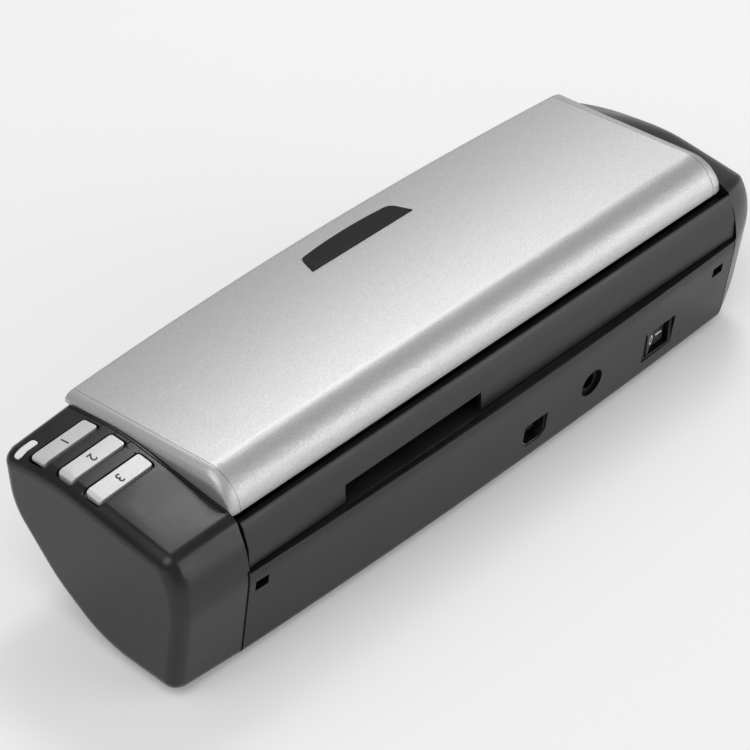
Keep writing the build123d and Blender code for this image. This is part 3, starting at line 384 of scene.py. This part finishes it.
def slim_rod(node, recipe):
    """Stands a slightly thinner copy in for a rod along x, so its facets turn in their bore."""
    low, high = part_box(node)
    with editing(soften(node, recipe, FINE_EDGE)):
        bpy.ops.transform.resize(
            value=(1, PIN_SHARE, PIN_SHARE), center_override=(low + high) / 2)


def lay_on(piece, onto, way):
    """Projects a flat piece along an axis onto another, a hair above it."""
    wrap = piece.modifiers.new("lay_on", "SHRINKWRAP")
    wrap.target = onto
    wrap.wrap_method = "PROJECT"
    wrap.use_project_y = way == "Y"
    wrap.use_project_z = way == "Z"
    wrap.use_negative_direction = True
    wrap.use_positive_direction = True
    wrap.offset = MARK_PROUD
    return wrap


def stamp(text, name, height, spot, turn, onto, way, recipe, body, bold):
    """A printed mark: flat letters laid on a surface a hair above it."""
    deselect()
    bpy.ops.object.text_add(location=spot, rotation=turn)
    letters = bpy.context.object
    letters.data.body = text
    letters.data.size = height / CAPITAL_SHARE
    letters.data.offset = height * bold
    letters.data.align_x = "CENTER"
    letters.data.align_y = "CENTER"
    bpy.ops.object.convert(target="MESH")
    mark = bpy.context.object
    bpy.ops.object.transform_apply(location=True, rotation=True, scale=True)
    with editing(mark):
        bpy.ops.mesh.remove_doubles(threshold=MERGE_STEP)
        bpy.ops.mesh.quads_convert_to_tris()
        bpy.ops.mesh.subdivide(number_cuts=1)
    lay_on(mark, onto, way)
    settle(mark, name, recipe, body)


def seam_shade_line(name, low_x, width, low, high, onto, way, recipe):
    """A thin strip of painted shade, standing in for the shade inside a parting gap, laid on a cap:
    along y from above, or along z from behind.
    """
    axis = "XYZ".index(way)
    spot = [low_x + width / 2, (low + high) / 2, (low + high) / 2]
    spot[axis] = STRIP_DROP
    turn = math.radians(-90 if way == "Y" else 0)
    deselect()
    bpy.ops.mesh.primitive_plane_add(size=1, location=spot, rotation=(turn, 0, 0))
    line = bpy.context.object
    line.scale = (width, high - low, 1)
    bpy.ops.object.transform_apply(location=True, rotation=True, scale=True)
    with editing(line):
        bpy.ops.mesh.subdivide(number_cuts=STRIP_CUTS)
        bpy.ops.mesh.select_mode(type="VERT")
        bpy.ops.mesh.select_all(action="DESELECT")
    bpy.ops.object.modifier_apply(modifier=lay_on(line, onto, way).name)
    # what misses the cap stays where the strip started, and is cut off
    top = max(v.co[axis] for v in onto.data.vertices) + STRIP_MISS
    for vertex in line.data.vertices:
        vertex.select = vertex.co[axis] > top
    bpy.ops.object.mode_set(mode="EDIT")
    bpy.ops.mesh.delete(type="VERT")
    bpy.ops.object.mode_set(mode="OBJECT")
    settle(line, name, recipe, "scanner_body")


class ScannerFinishes(bpy.types.PropertyGroup):
    """Colours a user may change."""

    body_colour: bpy.props.FloatVectorProperty(
        name="Body", description="Colour of the moulded body", subtype="COLOR",
        default=(0.008, 0.0083, 0.009), min=0, max=1)
    panel_colour: bpy.props.FloatVectorProperty(
        name="Rear panel", description="Colour of the rear panel and inner frame",
        subtype="COLOR", default=(0.014, 0.0142, 0.015), min=0, max=1)
    lid_colour: bpy.props.FloatVectorProperty(
        name="Lid", description="Colour of the silver lid", subtype="COLOR",
        default=(0.565, 0.568, 0.57), min=0, max=1)
    button_colour: bpy.props.FloatVectorProperty(
        name="Buttons", description="Colour of the three push buttons", subtype="COLOR",
        default=(0.70, 0.705, 0.71), min=0, max=1)
    mark_colour: bpy.props.FloatVectorProperty(
        name="Marks", description="Colour of the printed marks on the rocker", subtype="COLOR",
        default=(0.80, 0.80, 0.78), min=0, max=1)
    ink_colour: bpy.props.FloatVectorProperty(
        name="Numbers", description="Colour of the numbers on the buttons", subtype="COLOR",
        default=(0.03, 0.03, 0.032), min=0, max=1)


class ScannerSizes(bpy.types.PropertyGroup):
    """Sizes of the small details a user may change."""

    number_height: bpy.props.FloatProperty(
        name="Number height", description="Height of the numbers on the buttons",
        default=0.0036, unit="LENGTH", min=0.001, max=0.006)
    floor_size: bpy.props.FloatProperty(
        name="Floor", description="Width of the floor under the scanner",
        default=14.0, unit="LENGTH", min=1.0)


class SCANNER_OT_body(bpy.types.Operator):
    """Finish the housing, the two end caps, the rear panel and the inner frame"""
    bl_idname = "scanner.body"
    bl_label = "Body finish"

    def execute(self, context):
        looks = context.scene.scanner_finishes
        outer = satin_black("body_black", looks.body_colour, 0.28, BODY_GRAIN)
        far_cap = soften("plain_end_cap", outer, CAP_EDGE, ROUND_STEPS)
        wall = satin_black("housing_black", looks.body_colour, 0.3, BODY_GRAIN, 0.36)
        soften("lower_housing", wall, WALL_EDGE, ROUND_STEPS)
        near_cap = soften("button_end_cap", outer)

        # painted shade: flat black strips laid on the caps stand in for the shade inside the
        # parting gaps beside the lid trim and down the rear wall
        gap_shade = plain_finish("gap_shade_black", (0.002, 0.002, 0.002), 0.8, specular=0.1)
        trim_low, trim_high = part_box("near_lid_trim")
        for name, away, width in TRIM_SEAM_SHADES:
            seam_shade_line(name, trim_high.x + away, width, trim_low.y, trim_high.y, near_cap, "Z",
                      gap_shade)
        near_edge, far_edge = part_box("button_end_cap")[0].x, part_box("plain_end_cap")[1].x
        seam_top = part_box("rear_panel")[0].z + SEAM_REACH
        seam_shade_line("near_rear_seam_shade", near_edge + NEAR_SEAM_SHIFT, NEAR_SEAM_WIDTH, SEAM_FOOT,
                  seam_top, near_cap, "Y", gap_shade)
        seam_shade_line("far_rear_seam_shade", far_edge + FAR_SEAM_SHIFT, FAR_SEAM_WIDTH, SEAM_FOOT,
                  seam_top, far_cap, "Y", gap_shade)

        inner = satin_black("panel_black", looks.panel_colour, 0.42, PANEL_GRAIN)
        soften("rear_panel", inner)
        coat_with(("upper_frame", "lower_guide", "rear_guide"), inner)
        return {"FINISHED"}


class SCANNER_OT_lid(bpy.types.Operator):
    """Finish the silver lid, its end trims, the badge plate and the hinge pins"""
    bl_idname = "scanner.lid"
    bl_label = "Lid finish"

    def execute(self, context):
        looks = context.scene.scanner_finishes
        silver = silver_paint("lid_silver", looks.lid_colour, 0.46, crown=LID_CROWN)
        for node in ("top_lid", "near_lid_trim", "far_lid_trim"):
            soften(node, silver)
        gloss = plain_finish("badge_gloss", (0.003, 0.003, 0.0035), 0.32, specular=0.2)
        soften("badge_plate", gloss, FINE_EDGE, corner=BADGE_CORNER)
        pin_steel = plain_finish("pin_steel", (0.55, 0.55, 0.57), 0.3, 1.0, 900)
        for node in ("near_hinge_pin", "far_hinge_pin"):
            slim_rod(node, pin_steel)
        return {"FINISHED"}


class SCANNER_OT_guides(bpy.types.Operator):
    """Finish the chute plate, the two paper guides and their pinion"""
    bl_idname = "scanner.guides"
    bl_label = "Paper guides"

    def execute(self, context):
        finish_all(GUIDE_FINISHES)
        return {"FINISHED"}


class SCANNER_OT_buttons(bpy.types.Operator):
    """Finish the buttons, the light window and the board under them"""
    bl_idname = "scanner.buttons"
    bl_label = "Buttons"

    def execute(self, context):
        looks = context.scene.scanner_finishes
        silver = silver_paint("button_silver", looks.button_colour, 0.45, 0.07, metallic=0.35)
        ink = plain_finish("number_ink", looks.ink_colour, 0.5)
        height = context.scene.scanner_sizes.number_height
        for number, word in (("1", "one"), ("2", "two"), ("3", "three")):
            node = "button_" + word
            cap = soften(node, silver, steps=ROUND_STEPS)
            low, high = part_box(node)
            spot = ((low.x + high.x) / 2, (low.y + high.y) / 2, high.z + NUMBER_DROP)
            stamp(number, "number_" + word, height, spot, (0, 0, 0), cap, "Z", ink,
                  node + "_body", NUMBER_BOLD)
        frost = plain_finish("window_frost", (0.93, 0.94, 0.95), 0.45)
        soften("light_window", frost, steps=ROUND_STEPS)
        coat_with(("button_board", "main_board"),
                  plain_finish("board_green", (0.02, 0.11, 0.05), 0.35, scale=1200, coat=0.3))
        return {"FINISHED"}


class SCANNER_OT_sockets(bpy.types.Operator):
    """Finish the sockets and the power switch in the rear wall"""
    bl_idname = "scanner.sockets"
    bl_label = "Sockets and switch"

    def execute(self, context):
        looks = context.scene.scanner_finishes
        coat_with(("usb_socket",),
                  plain_finish("shell_nickel", (0.20, 0.20, 0.20), 0.35, 1.0, 800))
        dark = plain_finish("socket_black", (0.004, 0.004, 0.0042), 0.5, scale=900, specular=0.2)
        coat_with(("usb_tongue",), dark)
        for node in ("dc_jack", "power_switch"):
            soften(node, dark, SMALL_EDGE)
        coat_with(("jack_pin",), plain_finish("contact_steel", (0.6, 0.6, 0.6), 0.25, 1.0, 900))
        gloss = plain_finish("rocker_gloss", (0.045, 0.045, 0.047), 0.3, coat=0.2)
        rocker = soften("power_rocker", gloss, steps=ROUND_STEPS)
        white = plain_finish("mark_white", looks.mark_colour, 0.5)
        low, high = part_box("power_rocker")
        middle, tall = (low.x + high.x) / 2, (low.z + high.z) / 2 - ROCKER_MARK_LOW
        turn = (math.radians(90), math.radians(90), math.radians(180))
        for letter, name, shift in ROCKER_MARKS:
            spot = (middle + shift, high.y + ROCKER_DROP, tall)
            stamp(letter, name, ROCKER_MARK_HEIGHT, spot, turn, rocker, "Y", white,
                  "rocker_body", ROCKER_BOLD)
        return {"FINISHED"}


class SCANNER_OT_paper_drive(bpy.types.Operator):
    """Finish the rollers, shafts, bushes, gears, motor and sensors"""
    bl_idname = "scanner.paper_drive"
    bl_label = "Paper drive"

    def execute(self, context):
        finish_all(DRIVE_FINISHES)
        glass = Recipe("sensor_glass")
        haze = glass.noise(CLOUD_SCALE, 3)
        glass.set(
            colour=glass.blend(
                glass.remap(haze, MIDDLE_SPAN, 0, 1), (0.52, 0.59, 0.59, 1), (0.58, 0.65, 0.65, 1)),
            roughness=glass.remap(haze, WIDE_SPAN, 0.04, 0.07), transmission=0.7, ior=1.5)
        coat_with(("upper_glass", "lower_glass"), glass)
        return {"FINISHED"}


def photo_camera():
    """Stands the camera where the photo was taken from, for a square frame."""
    turn, rise, roll = (math.radians(a) for a in (VIEW_TURN, VIEW_RISE, VIEW_ROLL))
    back = Vector((
        math.sin(turn) * math.cos(rise), -math.cos(turn) * math.cos(rise), math.sin(rise)))
    flat = Vector((0, 0, 1)).cross(back).normalized()
    tall = back.cross(flat)
    right = flat * math.cos(roll) + tall * math.sin(roll)
    up = tall * math.cos(roll) - flat * math.sin(roll)
    spot = VIEW_TARGET + back * VIEW_DISTANCE - right * VIEW_SIDE - up * VIEW_UP
    data = bpy.data.cameras.new("photo_camera")
    data.sensor_width = SENSOR
    data.lens = FOCAL_PIXELS / PHOTO_SIDE * SENSOR
    data.clip_end = FAR_CLIP
    camera = bpy.data.objects.new("photo_camera", data)
    bpy.context.scene.collection.objects.link(camera)
    camera.matrix_world = Matrix((
        (right.x, up.x, back.x, spot.x), (right.y, up.y, back.y, spot.y),
        (right.z, up.z, back.z, spot.z), (0, 0, 0, 1)))
    bpy.context.scene.camera = camera


def soft_lamp(name, direction, distance, width, height, power):
    """Hangs a large area lamp, aimed at the scanner."""
    data = bpy.data.lights.new(name, "AREA")
    data.shape = "RECTANGLE"
    data.size = width
    data.size_y = height
    data.energy = power
    lamp = bpy.data.objects.new(name, data)
    bpy.context.scene.collection.objects.link(lamp)
    way = Vector(direction).normalized()
    lamp.location = VIEW_TARGET + way * distance
    lamp.rotation_mode = "QUATERNION"
    lamp.rotation_quaternion = way.to_track_quat("Z", "Y")


class SCANNER_OT_stage(bpy.types.Operator):
    """Set the pale floor, the soft studio lamps and the camera of the photo"""
    bl_idname = "scanner.stage"
    bl_label = "Stage"

    def execute(self, context):
        size = context.scene.scanner_sizes.floor_size
        deselect()
        bpy.ops.mesh.primitive_plane_add(size=size, location=(0, 0, 0))
        floor = context.object
        floor.name = "floor"
        paper = Recipe("floor_paper")
        plain_sight, mirrored, through = (
            paper.output("ShaderNodeLightPath", ray)
            for ray in ("Is Camera Ray", "Is Glossy Ray", "Is Transmission Ray"))
        paper.set(
            colour=(FLOOR_TONE, FLOOR_TONE, FLOOR_TONE, 1), roughness=0.7, specular=0.2,
            glow=(1, 1, 1, 1), glow_strength=(plain_sight + mirrored + through) * FLOOR_LIFT)
        floor.data.materials.append(paper.material)

        world = bpy.data.worlds.new("studio")
        context.scene.world = world
        world.use_nodes = True
        sky = world.node_tree.nodes["Background"]
        sky.inputs["Color"].default_value = (SKY_TONE, SKY_TONE, SKY_TONE, 1)
        sky.inputs["Strength"].default_value = SKY_STRENGTH

        photo_camera()
        context.scene.view_settings.view_transform = "Standard"
        for lamp in LAMPS:
            soft_lamp(*lamp)
        return {"FINISHED"}


class SCANNER_PT_panel(bpy.types.Panel):
    """Lists the steps and their settings in the sidebar"""
    bl_idname = "SCANNER_PT_panel"
    bl_label = "Scanner"
    bl_space_type = "VIEW_3D"
    bl_region_type = "UI"
    bl_category = "Scanner"

    def draw(self, context):
        scene = context.scene
        for step in STEPS:
            self.layout.operator(step.bl_idname)
        for group in (scene.scanner_finishes, scene.scanner_sizes):
            for key in group.bl_rna.properties.keys():
                if key not in ("rna_type", "name"):
                    self.layout.prop(group, key)


STEPS = (
    SCANNER_OT_body, SCANNER_OT_lid, SCANNER_OT_guides, SCANNER_OT_buttons, SCANNER_OT_sockets,
    SCANNER_OT_paper_drive, SCANNER_OT_stage,
)
CLASSES = (ScannerFinishes, ScannerSizes, *STEPS, SCANNER_PT_panel)


def register():
    for kind in CLASSES:
        bpy.utils.register_class(kind)
    bpy.types.Scene.scanner_finishes = bpy.props.PointerProperty(type=ScannerFinishes)
    bpy.types.Scene.scanner_sizes = bpy.props.PointerProperty(type=ScannerSizes)


def unregister():
    del bpy.types.Scene.scanner_finishes
    del bpy.types.Scene.scanner_sizes
    for kind in reversed(CLASSES):
        bpy.utils.unregister_class(kind)


def main():
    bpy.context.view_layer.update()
    register()
    for step in STEPS:
        group, name = step.bl_idname.split(".")
        getattr(getattr(bpy.ops, group), name)()


if __name__ == "__main__":
    main()
